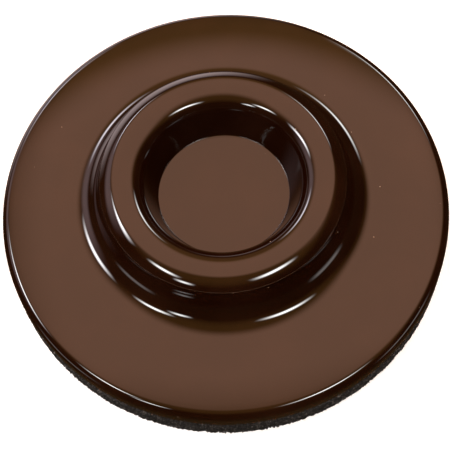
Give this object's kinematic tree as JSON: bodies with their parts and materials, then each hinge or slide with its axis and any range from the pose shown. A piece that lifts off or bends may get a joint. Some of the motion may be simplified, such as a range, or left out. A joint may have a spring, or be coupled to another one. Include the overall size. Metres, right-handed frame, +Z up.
{
  "type": "caster cup",
  "caption": "Round glossy caster cup: a domed brim rising in a cove to a raised ring round a flat-floored cup, on a thick bonded rubber pad.",
  "frame": {"origin": "centre of the pad's underside, on the floor", "axes": "+Z up along the axis of symmetry; X and Y are free, because the part is round"},
  "size_m": [0.1706, 0.1706, 0.0418],
  "materials": {
    "brown_plastic": "high gloss, injection moulded",
    "adhesive_film": "matt film",
    "rubber_crumb": "matt, grainy bonded crumb"
  },
  "bodies": {
    "root": {"moulded_cup": "brown_plastic", "adhesive_disc": "adhesive_film", "rubber_pad": "rubber_crumb"}
  },
  "joints": []
}
